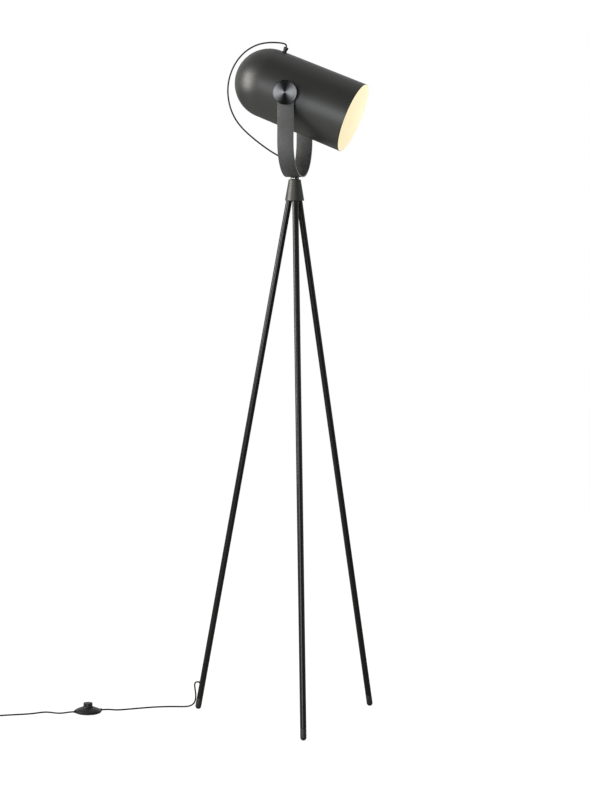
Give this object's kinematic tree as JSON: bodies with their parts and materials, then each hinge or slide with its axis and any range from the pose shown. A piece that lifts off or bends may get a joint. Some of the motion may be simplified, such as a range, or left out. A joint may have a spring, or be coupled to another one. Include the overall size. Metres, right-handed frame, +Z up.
{
  "type": "tripod spotlight floor lamp",
  "caption": "Floor lamp on three straight legs, with a domed cylindrical spotlight shade tilting in a swivelling strap yoke, and a foot switch on its lead.",
  "frame": {"origin": "middle of the footprint on the floor, under the lamp without its free lead", "axes": "+Z up; -Y towards the front leg; the head points to +X and a little to -Y"},
  "size_m": [0.9499, 0.4583, 1.5313],
  "materials": {
    "shade_paint": "fine matt textured paint, near black with an olive tint, white inside",
    "frame_paint": "satin dark bronze-grey lacquer on steel tube",
    "strap_paint": "fine grained dark grey powder coat",
    "hub_metal": "satin gunmetal",
    "knob_metal": "black chromed, faced in the lathe with fine rings",
    "bright_steel": "nickel plated",
    "zinc_steel": "zinc plated",
    "foot_rubber": "matt olive black rubber",
    "black_plastic": "moulded black plastic",
    "lead_sheath": "smooth black sheath",
    "holder_plastic": "black thermoplastic",
    "contact_brass": "bare brass",
    "lamp_opal": "opal diffuser",
    "lamp_white": "white plastic body",
    "lamp_nickel": "nickel plated screw cap"
  },
  "bodies": {
    "tripod": {"hub": "hub_metal", "neck_collar": "bright_steel", "swivel_stud": "zinc_steel", "clamp_washer": "zinc_steel", "clamp_nut": "zinc_steel", "lead_bushing": "black_plastic", "lead_grommet": "foot_rubber", "switch_base": "black_plastic", "switch_cover": "black_plastic", "switch_contact_block": "holder_plastic", "switch_spring": "zinc_steel", "plug_body": "black_plastic", "plug_relief": "black_plastic", "plug_pins": "lamp_nickel", "leg_front": "frame_paint", "foot_cap_front": "foot_rubber", "leg_right": "frame_paint", "foot_cap_right": "foot_rubber", "leg_left": "frame_paint", "foot_cap_left": "foot_rubber", "switch_relief_lamp": "black_plastic", "switch_relief_plug": "black_plastic", "lead_in_leg": "lead_sheath", "lead_in_switch": "lead_sheath", "lead_to_switch": "lead_sheath", "lead_past_switch": "lead_sheath", "lead_coil": "lead_sheath", "lead_to_plug": "lead_sheath"},
    "yoke": {"yoke_strap": "strap_paint", "lead_loop": "lead_sheath"},
    "head": {"shade": "shade_paint", "lamp_bracket": "zinc_steel", "tilt_bolt_near": "zinc_steel", "tilt_bolt_far": "zinc_steel", "arm_spacer_near": "black_plastic", "arm_spacer_far": "black_plastic", "friction_washer_near": "black_plastic", "friction_washer_far": "black_plastic", "gland_body": "black_plastic", "gland_nut": "black_plastic", "gland_lock_nut": "black_plastic", "holder_nipple": "zinc_steel", "holder_nut": "zinc_steel", "holder_cap": "holder_plastic", "holder_sleeve": "holder_plastic", "holder_contact": "contact_brass", "screw_shell": "contact_brass", "lamp_cap": "lamp_nickel", "lamp_body": "lamp_white", "lamp_globe": "lamp_opal", "lead_in_head": "lead_sheath"},
    "near_knob": {"knob_near": "knob_metal"},
    "far_knob": {"knob_far": "knob_metal"},
    "button": {"switch_button": "black_plastic"}
  },
  "joints": [
    {"name": "yoke_swivel", "type": "hinge", "parent": "tripod", "child": "yoke", "pos_m": [0, 0.058, 1.22855], "axis": [0, 0, 1], "range_deg": [-165, 165]},
    {"name": "head_tilt", "type": "hinge", "parent": "yoke", "child": "head", "pos_m": [0, 0.058, 1.4131], "axis": [-0.3681, -0.9298, 0], "range_deg": [-20, 60], "deforming": ["lead_loop"]},
    {"name": "near_knob_turn", "type": "hinge", "parent": "head", "child": "near_knob", "pos_m": [0, 0.058, 1.4131], "axis": [-0.3681, -0.9298, 0], "range_deg": [-180, 180]},
    {"name": "far_knob_turn", "type": "hinge", "parent": "head", "child": "far_knob", "pos_m": [0, 0.058, 1.4131], "axis": [0.3681, 0.9298, 0], "range_deg": [-180, 180]},
    {"name": "button_press", "type": "slide", "parent": "tripod", "child": "button", "axis": [0, 0, -1], "range_m": [0, 0.004], "stiffness_N_per_m": 400, "springref_m": -0.001, "deforming": ["switch_spring"]}
  ]
}
